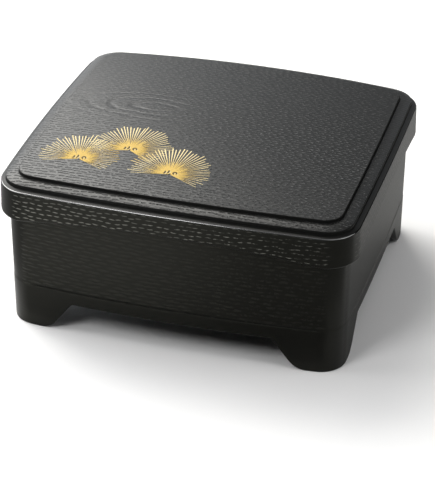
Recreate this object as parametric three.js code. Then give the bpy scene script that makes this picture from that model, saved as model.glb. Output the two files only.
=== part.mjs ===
// Lidded food box in black moulded resin: a tub on four bracket feet, a hanging tray and an overlapping lid.
// Millimetres, +Z up, front towards -Y. The origin is on the table, under the middle of the box.
import * as THREE from 'three';

// Lid, seen from above.
const lidWidth = 180;
const lidDepth = 166.8;
const sideBow = 1.4;
const frontBow = 5.3;
const rimCorner = 17.4;

// Lid, seen from the side. Heights are those of the crown's middle, and the crown falls to all four sides.
const rimHeight = 80;
const crownAlong = 1.7;
const crownAcross = 1.8;
const ledgeInset = 2.8;
const ledgeRise = 1.9;
const ledgeCorner = 13.6;
const ledgeFall = 0.8;
const panelInset = 8.8;
const panelStep = 1.6;
const panelCorner = 9.5;
const stepDraft = 0.1;
const stepEdgeRound = 0.35;
const panelFootRound = 0.6;
const ledgeFootRound = 0.2;
const rimRound = 1;
const panelThickness = 2.6;

// Skirt of the lid. Its lower edge is level at the corners and rises in an arc along each side.
const skirtDepth = 19.2;
const skirtWall = 2.8;
const skirtFlare = 0.35;
const frontHemRise = 6.4;
const sideHemRise = 5.4;
const frontHemShoulder = 14;
const sideHemShoulder = 21.4;
const hemRound = 0.9;
const hemInnerRound = 0.5;
const seatDrop = 0.7;
const seatRound = 0.8;
const ceilingRound = 0.8;

// Tub.
const lidClearance = 1;
const seatGap = 0.3;
const tubTaper = 0.7;
const tubWall = 3.6;
const tubLip = 1.6;
const rebateDepth = 2.3;
const lipEdge = 0.5;
const lipInnerEdge = 0.3;
const rebateEdge = 0.4;
const floorTop = 23.2;
const floorThickness = 2.8;
const floorRound = 5;
const wallDraft = 0.4;

// Foot band of the tub, below the crease, with an arch cut in each side.
const creaseHeight = 24;
const creaseWidth = 1.2;
const creaseDepth = 0.45;
const bandProud = 0.15;
const archHeight = 16.2;
const flankAngle = 53;
const archRound = 2.5;
const toeRound = 11;
const frontFootLength = 22.7;
const sideFootLength = 24.2;
const bandWall = 3;
const toeEdge = 0.6;
const toeInnerEdge = 0.4;
const undersideRound = 1.5;

// Tray that hangs by its flange in the rebate of the tub's lip.
const trayClearance = 0.5;
const trayFlange = 1.9;
const trayFlangeEdge = 0.5;
const trayWall = 1.8;
const trayDepth = 24;
const trayFloor = 2;
const trayRound = 6;
const trayDraft = 0.4;

// How finely curves are stepped.
const lidSideSteps = 8;
const lidEndSteps = 7;
const traySideSteps = 5;
const trayEndSteps = 4;
const cornerSteps = 8;
const tubCornerSteps = 7;
const archRoundSteps = 3;
const toeRoundSteps = 5;
const archTopSteps = 3;
const crownShares = [1 / 3, 2 / 3];

// Directions of a section's round edges, in degrees.
const upward = 90;
const outward = 0;
const downward = -90;
const inward = 180;

const halfWidth = lidWidth / 2;
const halfDepth = lidDepth / 2;
const frontArc = arcRadius(halfWidth - sideBow, frontBow);
const sideArc = arcRadius(halfDepth - frontBow, sideBow);
const seatHeight = rimHeight - crownAlong - crownAcross - seatDrop;
const tubInset = skirtWall + lidClearance;
const tubRim = seatHeight - seatGap;
const tubFootInset = tubInset + tubTaper;
const ledgeLow = rimHeight + ledgeRise;
const ledgeHigh = ledgeLow + ledgeFall;
const panelTop = ledgeHigh + panelStep;

// Radius of an arc from half its chord and its rise.
function arcRadius(halfChord, rise) {
  return (halfChord ** 2 + rise ** 2) / (2 * rise);
}

// How far the crowned top has fallen at a point.
function crownFall(x, y) {
  return crownAlong * (x / halfWidth) ** 2 + crownAcross * (y / halfDepth) ** 2;
}

// Height of an arc above its chord, and zero past its ends.
function arcHeight(distance, halfChord, rise) {
  if (Math.abs(distance) >= halfChord) return 0;
  const radius = arcRadius(halfChord, rise);
  return Math.sqrt(radius ** 2 - distance ** 2) - (radius - rise);
}

// Height of the skirt's lower edge: a corner level that each side's arc lifts.
function hemHeight(x, y) {
  const front = arcHeight(x, halfWidth - frontHemShoulder, frontHemRise);
  const side = arcHeight(y, halfDepth - sideHemShoulder, sideHemRise);
  return rimHeight - skirtDepth + front + side;
}

// Places along a foot arch, from its middle: the round at its top, the sloped flank and the round toe.
function archPlaces(halfSpan, footLength) {
  const angle = THREE.MathUtils.degToRad(flankAngle);
  const toe = halfSpan - footLength;
  const shoulder = toe - archHeight / Math.tan(angle);
  return {
    angle,
    shoulder,
    topEnd: shoulder - archRound * Math.tan(angle / 2),
    toeEnd: toe + toeRound * Math.tan(angle / 2),
  };
}

// Height of a foot arch's edge at a distance from the arch's middle.
function archEdge(distance, places) {
  const { angle, shoulder, topEnd, toeEnd } = places;
  const away = Math.abs(distance);
  if (away <= topEnd) return archHeight;
  if (away >= toeEnd) return 0;
  if (away <= topEnd + archRound * Math.sin(angle)) {
    return archHeight - archRound + Math.sqrt(archRound ** 2 - (away - topEnd) ** 2);
  }
  if (away >= toeEnd - toeRound * Math.sin(angle)) {
    return toeRound - Math.sqrt(toeRound ** 2 - (toeEnd - away) ** 2);
  }
  return archHeight - (away - shoulder) * Math.tan(angle);
}

// Distances from an arch's middle at which the tub's rings have a point.
function archStations(places) {
  const { angle, topEnd, toeEnd } = places;
  const stations = evenly(topEnd, archTopSteps);
  for (let step = 1; step <= archRoundSteps; step += 1) {
    stations.push(topEnd + archRound * Math.sin((angle * step) / archRoundSteps));
  }
  for (let step = toeRoundSteps; step >= 0; step -= 1) {
    stations.push(toeEnd - toeRound * Math.sin((angle * step) / toeRoundSteps));
  }
  return stations;
}

// Even steps from zero to a reach, both ends included.
function evenly(reach, steps) {
  return Array.from({ length: steps + 1 }, (_, step) => (reach * step) / steps);
}

const frontArch = archPlaces(halfWidth - tubFootInset, frontFootLength);
const sideArch = archPlaces(halfDepth - tubFootInset, sideFootLength);

// Height of the tub's lower edge. Each arch belongs to the sides that it is cut in.
function footHeight(x, y) {
  const onFront = Math.abs(y) > halfDepth - frontBow - rimCorner;
  const onSide = Math.abs(x) > halfWidth - sideBow - rimCorner;
  if (onFront && Math.abs(x) < frontArch.toeEnd) return archEdge(x, frontArch);
  if (onSide && Math.abs(y) < sideArch.toeEnd) return archEdge(y, sideArch);
  return 0;
}

// Centre of a corner's arc, which touches the back arc and the side arc from inside.
function cornerCentre(backRadius, sideRadius, corner) {
  const backY = halfDepth - frontArc;
  const sideX = halfWidth - sideArc;
  const fromBack = backRadius - corner;
  const fromSide = sideRadius - corner;
  const apart = Math.hypot(sideX, backY);
  const along = (fromBack ** 2 - fromSide ** 2 + apart ** 2) / (2 * apart);
  const off = Math.sqrt(fromBack ** 2 - along ** 2);
  const ux = sideX / apart;
  const uy = -backY / apart;
  return { x: along * ux + off * uy, y: backY + along * uy - off * ux };
}

// One quadrant of a bowed rectangle, from the middle of the right side to the middle of the back.
function quadrant(inset, corner, stations) {
  const backRadius = frontArc - inset;
  const sideRadius = sideArc - inset;
  const backY = halfDepth - frontArc;
  const sideX = halfWidth - sideArc;
  const centre = cornerCentre(backRadius, sideRadius, corner);
  const start = Math.atan2(centre.y, centre.x - sideX);
  const end = Math.atan2(centre.y - backY, centre.x);
  const points = [];
  for (const y of stations.side(sideRadius * Math.sin(start))) {
    points.push([sideX + Math.sqrt(sideRadius ** 2 - y ** 2), y]);
  }
  for (let step = 0; step <= stations.cornerSteps; step += 1) {
    const angle = start + ((end - start) * step) / stations.cornerSteps;
    points.push([centre.x + corner * Math.cos(angle), centre.y + corner * Math.sin(angle)]);
  }
  for (const x of stations.front(backRadius * Math.cos(end)).reverse()) {
    points.push([x, backY + Math.sqrt(backRadius ** 2 - x ** 2)]);
  }
  return points;
}

// The whole outline, anticlockwise from the middle of the right side.
function outline(inset, corner, stations) {
  const first = quadrant(inset, corner, stations);
  const second = first.map(([x, y]) => [-x, y]).reverse();
  const third = first.map(([x, y]) => [-x, -y]);
  const fourth = first.map(([x, y]) => [x, -y]).reverse();
  return [...first, ...second.slice(1), ...third.slice(1), ...fourth.slice(1, -1)];
}

// Stations of the lid and of the tray: even steps along each side, short of the corner's own points.
function evenStations(frontSteps, sideSteps, corners) {
  return {
    front: (tangent) => evenly(tangent, frontSteps).slice(0, -1),
    side: (tangent) => evenly(tangent, sideSteps).slice(0, -1),
    cornerSteps: corners,
  };
}

// Stations of the tub, close together where the foot arches turn.
function tubStations() {
  return {
    front: () => archStations(frontArch),
    side: () => archStations(sideArch),
    cornerSteps: tubCornerSteps,
  };
}

// Points of a section's round edge, from one direction to another.
function bend(centreInset, centreHeight, radius, from, to, steps) {
  return evenly(to - from, steps).map((turned) => {
    const angle = THREE.MathUtils.degToRad(from + turned);
    return { inset: centreInset - radius * Math.cos(angle), height: centreHeight + radius * Math.sin(angle) };
  });
}

// A ring of points: a section's point carried round the outline, at a height that may vary with the place.
function ring(point, corner, stations, heightAt, share = 1) {
  return outline(point.inset, corner, stations).map(([x, y]) => {
    const place = [x * share, y * share];
    return [...place, heightAt(...place) + point.height];
  });
}

// A closed shell through a row of rings, with a point in the middle at both ends.
function shell(rings, firstHeight, lastHeight) {
  const count = rings[0].length;
  const positions = [0, 0, firstHeight, ...rings.flat(2), 0, 0, lastHeight];
  const last = rings.length * count + 1;
  const at = (level, index) => 1 + level * count + (index % count);
  const faces = [];
  for (let index = 0; index < count; index += 1) {
    faces.push(0, at(0, index), at(0, index + 1));
    for (let level = 0; level + 1 < rings.length; level += 1) {
      faces.push(at(level, index), at(level + 1, index), at(level + 1, index + 1));
      faces.push(at(level, index), at(level + 1, index + 1), at(level, index + 1));
    }
    faces.push(at(rings.length - 1, index), last, at(rings.length - 1, index + 1));
  }
  const geometry = new THREE.BufferGeometry();
  geometry.setAttribute('position', new THREE.Float32BufferAttribute(positions, 3));
  geometry.setIndex(faces);
  geometry.computeVertexNormals();
  return geometry;
}

const flat = () => 0;
const crowned = (x, y) => -crownFall(x, y);

// Round upper edge of a step in the lid's top.
function stepEdge(inset, high) {
  return bend(inset + stepEdgeRound, high - stepEdgeRound, stepEdgeRound, upward, outward, 2);
}

// Hollow at the foot of a step in the lid's top.
function stepFoot(inset, low, round) {
  return bend(inset - stepDraft - round, low + round, round, inward, inward + upward, 1);
}

// Rings of a section whose corners stay parallel to one corner at one inset.
function parallel(section, corner, atInset, stations, heightAt) {
  return section.map((point) => ring(point, corner + atInset - point.inset, stations, heightAt));
}

// Lid, outside: panel, step, falling ledge, step and rounded rim, all following the crown.
function lidTopRings(stations) {
  const panelFoot = stepFoot(panelInset, ledgeHigh, panelFootRound);
  const panelSection = [...stepEdge(panelInset, panelTop), ...panelFoot];
  const ledgeFoot = stepFoot(ledgeInset, rimHeight, ledgeFootRound);
  const ledgeSection = [...stepEdge(ledgeInset, ledgeLow), ...ledgeFoot];
  const rimSection = bend(rimRound, rimHeight - rimRound, rimRound, upward, outward, 3);
  return [
    ...crownShares.map((share) => ring(panelSection[0], panelCorner, stations, crowned, share)),
    ...parallel(panelSection, panelCorner, panelInset, stations, crowned),
    ...parallel(ledgeSection, ledgeCorner, ledgeInset, stations, crowned),
    ...parallel(rimSection, rimCorner, 0, stations, crowned),
  ];
}

// Lid, inside: the hem's inner edge, the skirt's inner face, the flat seat and the raised ceiling.
function lidUnderRings(stations) {
  const hem = [
    ...bend(hemRound - skirtFlare, hemRound, hemRound, outward, downward, 2),
    ...bend(skirtWall - skirtFlare - hemInnerRound, hemInnerRound, hemInnerRound, downward, -inward, 1),
  ];
  const seat = bend(skirtWall + seatRound, seatHeight - seatRound, seatRound, outward, upward, 2);
  const ceilingInset = panelInset + panelThickness;
  const ceilingHeight = panelTop - panelThickness;
  const ceilingEdge = { inset: ceilingInset, height: seatHeight };
  const ceilingStart = ceilingInset + stepDraft + ceilingRound;
  const ceiling = bend(ceilingStart, ceilingHeight - ceilingRound, ceilingRound, outward, upward, 1);
  const rings = [
    ...parallel(hem, rimCorner, 0, stations, hemHeight),
    ...parallel([...seat, ceilingEdge], rimCorner, 0, stations, flat),
    ...parallel(ceiling, rimCorner, 0, stations, crowned),
  ];
  const ceilingCorner = rimCorner - ceilingStart;
  for (const share of [...crownShares].reverse()) {
    rings.push(ring(ceiling[1], ceilingCorner, stations, crowned, share));
  }
  return rings;
}

function lidGeometry() {
  const stations = evenStations(lidSideSteps, lidEndSteps, cornerSteps);
  const rings = [...lidTopRings(stations), ...lidUnderRings(stations)];
  return shell(rings, panelTop, panelTop - panelThickness);
}

// Tub, inside: floor, round to the wall, the rebate for the tray and the lip.
function tubInsideSection() {
  const innerInset = tubInset + tubWall;
  const floorInset = innerInset + tubTaper + wallDraft + floorRound;
  const rebateHeight = tubRim - rebateDepth;
  const lipInset = tubInset + tubLip;
  return [
    ...bend(floorInset, floorTop + floorRound, floorRound, downward, outward, 3),
    ...bend(innerInset - rebateEdge, rebateHeight - rebateEdge, rebateEdge, inward, upward, 1),
    { inset: lipInset, height: rebateHeight },
    ...bend(lipInset - lipInnerEdge, tubRim - lipInnerEdge, lipInnerEdge, inward, upward, 1),
  ];
}

// Tub, outside above the feet: the lip's outer edge, the wall and the crease over the foot band.
function tubOutsideSection() {
  const wallInset = (height) => tubFootInset - (tubTaper * height) / tubRim;
  const above = creaseHeight + creaseWidth / 2;
  const below = creaseHeight - creaseWidth / 2;
  return [
    ...bend(tubInset + lipEdge, tubRim - lipEdge, lipEdge, upward, outward, 2),
    { inset: wallInset(above), height: above },
    { inset: wallInset(creaseHeight) + creaseDepth, height: creaseHeight },
    { inset: wallInset(below) - bandProud, height: below },
  ];
}

// Tub, lower edge: its section's heights are above the arched edge.
function tubEdgeSection() {
  const outer = tubFootInset - bandProud;
  const inner = tubFootInset + bandWall;
  return [
    ...bend(outer + toeEdge, toeEdge, toeEdge, outward, downward, 2),
    ...bend(inner - toeInnerEdge, toeInnerEdge, toeInnerEdge, downward, -inward, 1),
  ];
}

function tubGeometry() {
  const stations = tubStations();
  const underside = floorTop - floorThickness;
  const underInset = tubFootInset + bandWall + undersideRound;
  const underEdge = bend(underInset, underside - undersideRound, undersideRound, outward, upward, 2);
  const rings = [
    ...parallel([...tubInsideSection(), ...tubOutsideSection()], rimCorner, 0, stations, flat),
    ...parallel(tubEdgeSection(), rimCorner, 0, stations, footHeight),
    ...parallel(underEdge, rimCorner, 0, stations, flat),
  ];
  return shell(rings, floorTop, underside);
}

// Tray: floor, round wall and a flange that rests in the rebate of the tub.
function trayGeometry() {
  const stations = evenStations(traySideSteps, trayEndSteps, cornerSteps);
  const flangeUnder = tubRim - rebateDepth + seatGap;
  const flangeTop = flangeUnder + trayFlange;
  const flangeInset = tubInset + tubLip + trayClearance;
  const outerInset = tubInset + tubWall + trayClearance;
  const innerInset = outerInset + trayWall;
  const bottom = flangeTop - trayDepth;
  const innerRound = trayRound - trayWall;
  const floor = bottom + trayFloor;
  const edgeInset = flangeInset + trayFlangeEdge;
  const section = [
    ...bend(innerInset + trayDraft + innerRound, floor + innerRound, innerRound, downward, outward, 3),
    ...bend(innerInset - trayFlangeEdge, flangeTop - trayFlangeEdge, trayFlangeEdge, inward, upward, 1),
    ...bend(edgeInset, flangeTop - trayFlangeEdge, trayFlangeEdge, upward, outward, 1),
    ...bend(edgeInset, flangeUnder + trayFlangeEdge, trayFlangeEdge, outward, downward, 1),
    { inset: outerInset, height: flangeUnder },
    ...bend(outerInset + trayDraft + trayRound, bottom + trayRound, trayRound, outward, downward, 3),
  ];
  return shell(parallel(section, rimCorner, 0, stations, flat), floor, bottom);
}

function resin(color, roughness) {
  return new THREE.MeshStandardMaterial({ color, roughness, metalness: 0 });
}

function piece(name, geometry, material) {
  const mesh = new THREE.Mesh(geometry, material);
  mesh.name = name;
  return mesh;
}

const box = new THREE.Group();
box.add(piece('lid', lidGeometry(), resin(0x1c1d1b, 0.35)));
box.add(piece('tub', tubGeometry(), resin(0x1a1b19, 0.38)));
box.add(piece('inner_tray', trayGeometry(), resin(0x8e1f14, 0.3)));

export default box;
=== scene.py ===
import math
import random

import bpy
import numpy as np
from mathutils import Matrix, Vector


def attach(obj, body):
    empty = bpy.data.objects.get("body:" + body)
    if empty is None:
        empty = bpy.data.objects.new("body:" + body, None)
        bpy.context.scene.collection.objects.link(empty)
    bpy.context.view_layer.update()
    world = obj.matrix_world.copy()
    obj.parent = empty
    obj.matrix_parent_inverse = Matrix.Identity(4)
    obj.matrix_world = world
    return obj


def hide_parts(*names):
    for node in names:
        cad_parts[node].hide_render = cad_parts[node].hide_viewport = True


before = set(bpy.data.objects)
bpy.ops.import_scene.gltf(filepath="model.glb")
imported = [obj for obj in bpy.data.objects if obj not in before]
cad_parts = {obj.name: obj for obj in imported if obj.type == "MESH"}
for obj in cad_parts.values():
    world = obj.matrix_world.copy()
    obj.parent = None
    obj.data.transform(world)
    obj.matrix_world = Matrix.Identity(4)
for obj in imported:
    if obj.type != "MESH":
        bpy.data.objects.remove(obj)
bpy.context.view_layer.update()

# Lengths are in millimetres, in the CAD model's frame. MM turns them into Blender's metres.
MM = 0.001

# Lid, as in the CAD model but for two rounds, and for the rim's strip, which falls by a tilt in degrees.
LID_WIDTH = 180
LID_DEPTH = 166.8
SIDE_BOW = 1.4
FRONT_BOW = 5.3
RIM_CORNER = 17.4
RIM_HEIGHT = 80
CROWN_ALONG = 1.7
CROWN_ACROSS = 1.8
LEDGE_INSET = 2.8
LEDGE_RISE = 1.9
LEDGE_CORNER = 13.6
LEDGE_FALL = 0.8
PANEL_INSET = 8.8
PANEL_STEP = 1.6
PANEL_CORNER = 9.5
STEP_DRAFT = 0.1
STEP_EDGE_ROUND = 0.35
PANEL_FOOT_ROUND = 0.3
LEDGE_FOOT_ROUND = 0.2
RIM_ROUND = 0.7
RIM_TILT = 12
PANEL_THICKNESS = 2.6
SKIRT_DEPTH = 19.2
SKIRT_WALL = 2.8
SKIRT_FLARE = 0.35
FRONT_HEM_RISE = 6.4
SIDE_HEM_RISE = 5.4
FRONT_HEM_SHOULDER = 14
SIDE_HEM_SHOULDER = 21.4
HEM_ROUND = 0.9
HEM_INNER_ROUND = 0.5
SEAT_DROP = 0.7
SEAT_ROUND = 0.8
CEILING_ROUND = 0.8

# Tub, as in the CAD model but for the crease, which is wider, shallower and low, and fades at the corners.
LID_CLEARANCE = 1
SEAT_GAP = 0.3
TUB_TAPER = 0.7
TUB_WALL = 3.6
TUB_LIP = 1.6
REBATE_DEPTH = 2.3
LIP_EDGE = 0.5
LIP_INNER_EDGE = 0.3
REBATE_EDGE = 0.4
FLOOR_TOP = 23.2
FLOOR_THICKNESS = 2.8
FLOOR_ROUND = 5
WALL_DRAFT = 0.4
CREASE_HEIGHT = 24
CREASE_WIDTH = 1.6
CREASE_DEPTH = 0.3
CREASE_LOW_SHARE = 0.35
CREASE_FADE = 10
BAND_PROUD = 0.15
ARCH_HEIGHT = 16.2
FLANK_ANGLE = 53
ARCH_ROUND = 2.5
TOE_ROUND = 11
FRONT_FOOT_LENGTH = 22.7
SIDE_FOOT_LENGTH = 24.2
BAND_WALL = 3
TOE_EDGE = 0.6
TOE_INNER_EDGE = 0.4
UNDERSIDE_ROUND = 1.5

# Inner tray, as in the CAD model.
TRAY_CLEARANCE = 0.5
TRAY_FLANGE = 1.9
TRAY_FLANGE_EDGE = 0.5
TRAY_WALL = 1.8
TRAY_DEPTH = 24
TRAY_FLOOR = 2
TRAY_ROUND = 6
TRAY_DRAFT = 0.4

# Fineness of the meshes.
SIDE_STEPS = 40
CORNER_STEPS = 20
CROWN_STEPS = 12
LEDGE_STEPS = 4
EDGE_STEPS = 5
ARCH_TOP_STEPS = 30
ARCH_ROUND_STEPS = 6
FLANK_STEPS = 8
TOE_STEPS = 10
FOOT_STEPS = 4
HOLD = 0.15
HOLD_WIDE_RATIO = 6
HOLD_MOST_SHARE = 0.4

HALF_WIDTH = LID_WIDTH / 2
HALF_DEPTH = LID_DEPTH / 2


def arc_radius(half_chord, rise):
    """Radius of an arc from half its chord and its rise."""
    return (half_chord**2 + rise**2) / (2 * rise)


FRONT_ARC = arc_radius(HALF_WIDTH - SIDE_BOW, FRONT_BOW)
SIDE_ARC = arc_radius(HALF_DEPTH - FRONT_BOW, SIDE_BOW)
PANEL_TOP = RIM_HEIGHT + LEDGE_RISE + LEDGE_FALL + PANEL_STEP
SEAT_HEIGHT = RIM_HEIGHT - CROWN_ALONG - CROWN_ACROSS - SEAT_DROP
TUB_INSET = SKIRT_WALL + LID_CLEARANCE
TUB_RIM = SEAT_HEIGHT - SEAT_GAP
TUB_FOOT_INSET = TUB_INSET + TUB_TAPER


def crown(x, y):
    """How the crowned top falls away from its middle."""
    return -CROWN_ALONG * (x / HALF_WIDTH) ** 2 - CROWN_ACROSS * (y / HALF_DEPTH) ** 2


def level(x, y):
    """No change of height."""
    return np.zeros_like(x)


def arc_height(distance, half_chord, rise):
    """Height of an arc above its chord, and zero past its ends."""
    radius = arc_radius(half_chord, rise)
    inside = np.clip(radius**2 - distance**2, 0, None)
    return np.where(np.abs(distance) < half_chord, np.sqrt(inside) - (radius - rise), 0)


def hem(x, y):
    """Height of the skirt's lower edge, level at the corners and arched along each side."""
    front = arc_height(x, HALF_WIDTH - FRONT_HEM_SHOULDER, FRONT_HEM_RISE)
    side = arc_height(y, HALF_DEPTH - SIDE_HEM_SHOULDER, SIDE_HEM_RISE)
    return RIM_HEIGHT - SKIRT_DEPTH + front + side


class Arch:
    """Edge of a foot arch: a level top, a round, a sloped flank and a round toe."""

    def __init__(self, half_span, foot_length):
        self.angle = math.radians(FLANK_ANGLE)
        toe = half_span - foot_length
        self.shoulder = toe - ARCH_HEIGHT / math.tan(self.angle)
        self.top_end = self.shoulder - ARCH_ROUND * math.tan(self.angle / 2)
        self.toe_end = toe + TOE_ROUND * math.tan(self.angle / 2)
        self.flank_start = self.top_end + ARCH_ROUND * math.sin(self.angle)
        self.flank_end = self.toe_end - TOE_ROUND * math.sin(self.angle)

    def height(self, distance):
        """Height of the edge at a distance from the arch's middle."""
        away = np.abs(distance)
        bend = np.clip(ARCH_ROUND**2 - (away - self.top_end) ** 2, 0, None)
        toe = np.clip(TOE_ROUND**2 - (self.toe_end - away) ** 2, 0, None)
        return np.select(
            [away <= self.top_end, away <= self.flank_start, away <= self.flank_end, away < self.toe_end],
            [
                np.full_like(away, ARCH_HEIGHT),
                ARCH_HEIGHT - ARCH_ROUND + np.sqrt(bend),
                ARCH_HEIGHT - (away - self.shoulder) * math.tan(self.angle),
                TOE_ROUND - np.sqrt(toe),
            ],
            0,
        )

    def stations(self, tangent):
        """Distances from the middle, close together where the edge turns."""
        turns = np.sin(np.linspace(0, self.angle, ARCH_ROUND_STEPS + 1))
        toes = np.sin(np.linspace(self.angle, 0, TOE_STEPS + 1))
        return np.concatenate([
            np.linspace(0, self.top_end, ARCH_TOP_STEPS, endpoint=False),
            self.top_end + ARCH_ROUND * turns,
            np.linspace(self.flank_start, self.flank_end, FLANK_STEPS + 1)[1:-1],
            self.toe_end - TOE_ROUND * toes,
            np.linspace(self.toe_end, tangent, FOOT_STEPS, endpoint=False)[1:],
        ])


FRONT_ARCH = Arch(HALF_WIDTH - TUB_FOOT_INSET, FRONT_FOOT_LENGTH)
SIDE_ARCH = Arch(HALF_DEPTH - TUB_FOOT_INSET, SIDE_FOOT_LENGTH)


def foot_edge(x, y):
    """Height of the tub's lower edge. Each arch belongs to the sides that it is cut in."""
    on_front = (np.abs(y) > HALF_DEPTH - FRONT_BOW - RIM_CORNER) & (np.abs(x) < FRONT_ARCH.toe_end)
    on_side = (np.abs(x) > HALF_WIDTH - SIDE_BOW - RIM_CORNER) & (np.abs(y) < SIDE_ARCH.toe_end)
    return np.select([on_front, on_side], [FRONT_ARCH.height(x), SIDE_ARCH.height(y)], 0)


def even_stations(tangent):
    return np.linspace(0, tangent, SIDE_STEPS, endpoint=False)


EVEN = (even_stations, even_stations)
ARCHED = (FRONT_ARCH.stations, SIDE_ARCH.stations)


def outline(inset, corner, stations):
    """Bowed rectangle with round corners, anticlockwise from the middle of the right side."""
    back_y = HALF_DEPTH - FRONT_ARC
    side_x = HALF_WIDTH - SIDE_ARC
    back_radius = FRONT_ARC - inset
    side_radius = SIDE_ARC - inset
    apart = math.hypot(side_x, back_y)
    along = ((back_radius - corner) ** 2 - (side_radius - corner) ** 2 + apart**2) / (2 * apart)
    off = math.sqrt((back_radius - corner) ** 2 - along**2)
    unit_x, unit_y = side_x / apart, -back_y / apart
    centre_x = along * unit_x + off * unit_y
    centre_y = back_y + along * unit_y - off * unit_x
    start = math.atan2(centre_y, centre_x - side_x)
    end = math.atan2(centre_y - back_y, centre_x)
    turn = np.linspace(start, end, CORNER_STEPS + 1)
    front_stations, side_stations = stations
    side_y = side_stations(side_radius * math.sin(start))
    front_x = front_stations(back_radius * math.cos(end))[::-1]
    x = np.concatenate([
        side_x + np.sqrt(side_radius**2 - side_y**2),
        centre_x + corner * np.cos(turn),
        front_x,
    ])
    y = np.concatenate([
        side_y,
        centre_y + corner * np.sin(turn),
        back_y + np.sqrt(back_radius**2 - front_x**2),
    ])
    first = np.column_stack([x, y])
    second = (first * (-1, 1))[::-1][1:]
    third = (first * (-1, -1))[1:]
    fourth = (first * (1, -1))[::-1][1:-1]
    return np.concatenate([first, second, third, fourth])


def bend(centre_inset, centre_height, radius, start, end, steps=EDGE_STEPS):
    """Points (inset, height) of a section's round edge, from one direction to another, in degrees."""
    angle = np.radians(np.linspace(start, end, steps + 1))
    return np.column_stack([centre_inset - radius * np.cos(angle), centre_height + radius * np.sin(angle)])


UP, OUT, DOWN, IN = 90, 0, -90, 180


def ring(point, corner, stations, lift, share=1):
    """A section's point carried round the outline, at a height that may vary with the place."""
    inset, height = point
    place = outline(inset, corner, stations) * share
    return np.column_stack([place, lift(place[:, 0], place[:, 1]) + height])


def parallel(points, corner, at_inset, stations, lift):
    """Rings of a section whose corners stay parallel to one corner at one inset."""
    return [ring(point, corner + at_inset - point[0], stations, lift) for point in points]


def held(rings):
    """The same rings, with two more inside each wide strip, so that its shading stays flat."""
    full = [rings[0]]
    for before, after in zip(rings, rings[1:]):
        width = np.linalg.norm(after - before, axis=1)[:, None]
        if width.mean() > HOLD_WIDE_RATIO * HOLD:
            share = np.clip(HOLD / np.maximum(width, HOLD), 0, HOLD_MOST_SHARE)
            full.append(before + (after - before) * share)
            full.append(after - (after - before) * share)
        full.append(after)
    return full


def shell(name, coats, first_height, last_height):
    """A closed mesh through rings, grouped as (material, rings), with a middle point at both ends."""
    rings, strips = [], []
    for index, (_, group) in enumerate(coats):
        added = held(rings[-1:] + group)[len(rings[-1:]):]
        strips += [index] * (len(added) if rings else len(added) - 1)
        rings += added
    count = len(rings[0])
    points = np.concatenate([[[0, 0, first_height]], *rings, [[0, 0, last_height]]])
    here = np.arange(count)
    ahead = np.roll(here, -1)
    faces = [(0, 1 + a, 1 + b) for a, b in zip(here, ahead)]
    slots = [strips[0]] * count
    for row, coat in enumerate(strips):
        low, high = 1 + row * count, 1 + (row + 1) * count
        faces += [(low + a, high + a, high + b, low + b) for a, b in zip(here, ahead)]
        slots += [coat] * count
    low = 1 + (len(rings) - 1) * count
    faces += [(low + a, len(points) - 1, low + b) for a, b in zip(here, ahead)]
    slots += [strips[-1]] * count
    mesh = bpy.data.meshes.new(name)
    mesh.from_pydata((points * MM).tolist(), [], faces)
    for material, _ in coats:
        mesh.materials.append(material)
    mesh.polygons.foreach_set("material_index", slots)
    mesh.polygons.foreach_set("use_smooth", [True] * len(faces))
    made = bpy.data.objects.new(name, mesh)
    bpy.context.scene.collection.objects.link(made)
    return made


def panel_rings():
    """The crowned panel, out to its edge."""
    edge = (PANEL_INSET + STEP_EDGE_ROUND, PANEL_TOP)
    shares = [(step + 1) / (CROWN_STEPS + 1) for step in range(CROWN_STEPS)]
    middle = [ring(edge, PANEL_CORNER - STEP_EDGE_ROUND, EVEN, crown, share) for share in shares]
    return middle + parallel([edge], PANEL_CORNER, PANEL_INSET, EVEN, crown)


def step_rings(inset, corner, top, foot, foot_round):
    """A round edge, a steep step and the round at its foot."""
    edge = bend(inset + STEP_EDGE_ROUND, top - STEP_EDGE_ROUND, STEP_EDGE_ROUND, UP, OUT)
    below = bend(inset - STEP_DRAFT - foot_round, foot + foot_round, foot_round, IN, IN + UP)
    return parallel([*edge[1:], *below], corner, inset, EVEN, crown)


def ledge_rings():
    """The ledge, which is slightly round and falls towards its edge."""
    start = PANEL_INSET - STEP_DRAFT - PANEL_FOOT_ROUND
    end = LEDGE_INSET + STEP_EDGE_ROUND
    shares = np.linspace(0, 1, LEDGE_STEPS + 1)[1:]
    heights = RIM_HEIGHT + LEDGE_RISE + LEDGE_FALL * (1 - shares**2)
    points = np.column_stack([start + (end - start) * shares, heights])
    return parallel(points, LEDGE_CORNER, LEDGE_INSET, EVEN, crown)


def rim_rings():
    """The rim's strip, which falls a little outwards, and the upper and lower part of its round edge."""
    tilt = math.radians(RIM_TILT)
    width = LEDGE_INSET - STEP_DRAFT - LEDGE_FOOT_ROUND - RIM_ROUND
    centre = RIM_HEIGHT - width * math.tan(tilt) - RIM_ROUND / math.cos(tilt)
    edge = bend(RIM_ROUND, centre, RIM_ROUND, UP - RIM_TILT, OUT)
    rings = parallel(edge, RIM_CORNER, 0, EVEN, crown)
    return rings[:1], rings[1:EDGE_STEPS - 1], rings[EDGE_STEPS - 1:]


def skirt_rings():
    """The skirt's lower edge."""
    edge = bend(HEM_ROUND - SKIRT_FLARE, HEM_ROUND, HEM_ROUND, OUT, DOWN)
    return parallel(edge, RIM_CORNER, 0, EVEN, hem)


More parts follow.
